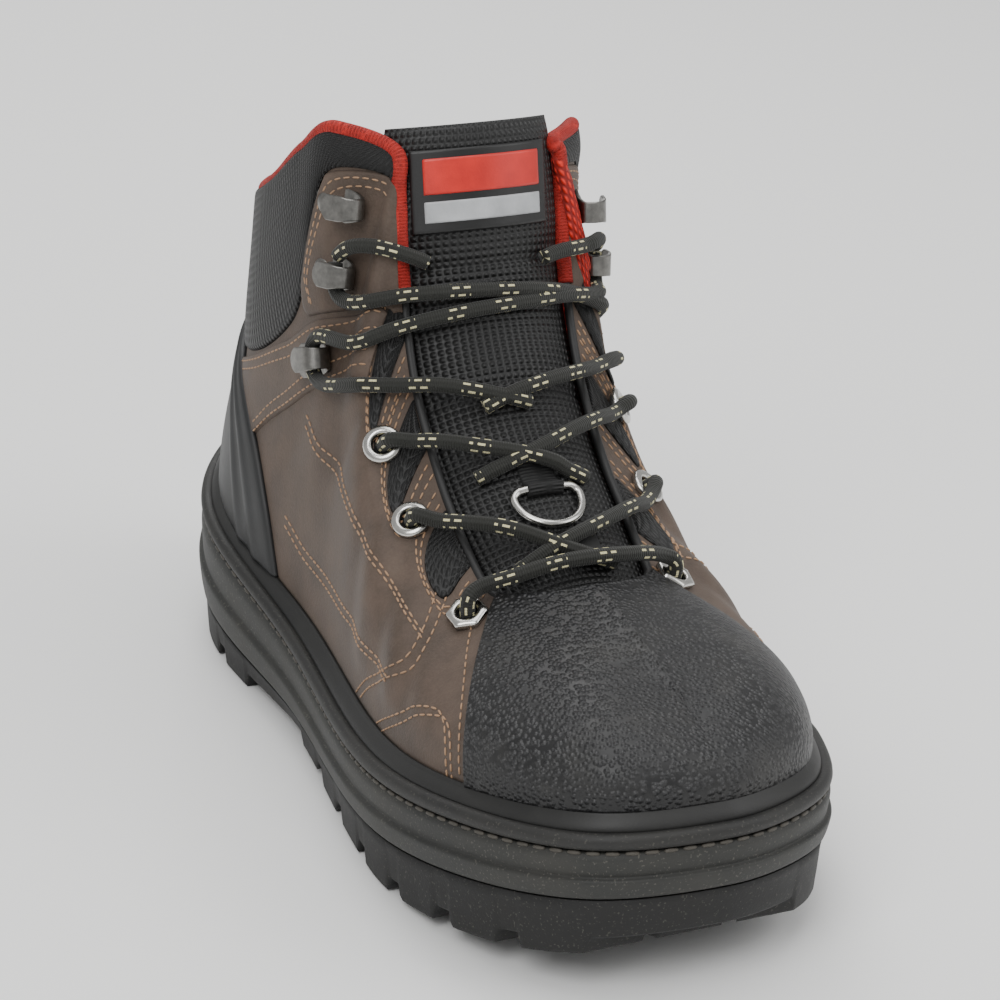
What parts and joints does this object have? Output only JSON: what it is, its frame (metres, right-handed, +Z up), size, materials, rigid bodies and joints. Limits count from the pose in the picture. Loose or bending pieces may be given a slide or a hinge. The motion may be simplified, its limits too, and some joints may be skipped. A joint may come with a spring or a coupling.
{
  "type": "wading boot",
  "caption": "Lace-up wading boot for the right foot: lugged rubber sole, padded mesh collar, rubber toe cap and heel counter, padded tongue, round lace in eyelets and hooks.",
  "frame": {"origin": "centre of the bounding box in plan, on the floor under the lugs", "axes": "+Z up, +Y from toe to heel, toe toward -Y, +X to the medial side"},
  "size_m": [0.1304, 0.3232, 0.191],
  "materials": {
    "outsole_rubber": "matte dark rubber",
    "midsole_rubber": "satin dusty rubber",
    "rand_rubber": "smooth satin rubber",
    "upper_leather": "brown nubuck with black mesh collar panels",
    "tongue_mesh": "black woven mesh",
    "insole_foam": "dark foam with fabric top",
    "toe_rubber": "granular black rubberised toe cap",
    "counter_rubber": "satin moulded dark grey rubber",
    "hook_steel": "aged nickel plated steel",
    "eyelet_steel": "bright nickel plated steel",
    "badge_rubber": "soft black moulded badge with plain coloured bars",
    "lace_cord": "round braided black lace with groups of cream dashes"
  },
  "bodies": {
    "root": {"outsole": "outsole_rubber", "midsole": "midsole_rubber", "welt": "rand_rubber", "rand": "rand_rubber", "upper": "upper_leather", "tongue": "tongue_mesh", "insole": "insole_foam", "toe_cap": "toe_rubber", "heel_counter": "counter_rubber", "eyelet_lateral_1": "eyelet_steel", "eyelet_lateral_2": "eyelet_steel", "eyelet_lateral_3": "eyelet_steel", "eyelet_medial_1": "eyelet_steel", "eyelet_medial_2": "eyelet_steel", "eyelet_medial_3": "eyelet_steel", "drain_medial_1": "eyelet_steel", "drain_medial_2": "eyelet_steel", "hook_lateral_1": "hook_steel", "hook_lateral_2": "hook_steel", "hook_lateral_3": "hook_steel", "hook_medial_1": "hook_steel", "hook_medial_2": "hook_steel", "hook_medial_3": "hook_steel", "tongue_badge": "badge_rubber", "d_ring": "eyelet_steel", "lace_cross_1": "lace_cord", "lace_cross_2": "lace_cord", "lace_cross_3": "lace_cord", "lace_end_lateral": "lace_cord", "lace_end_medial": "lace_cord"}
  },
  "joints": []
}
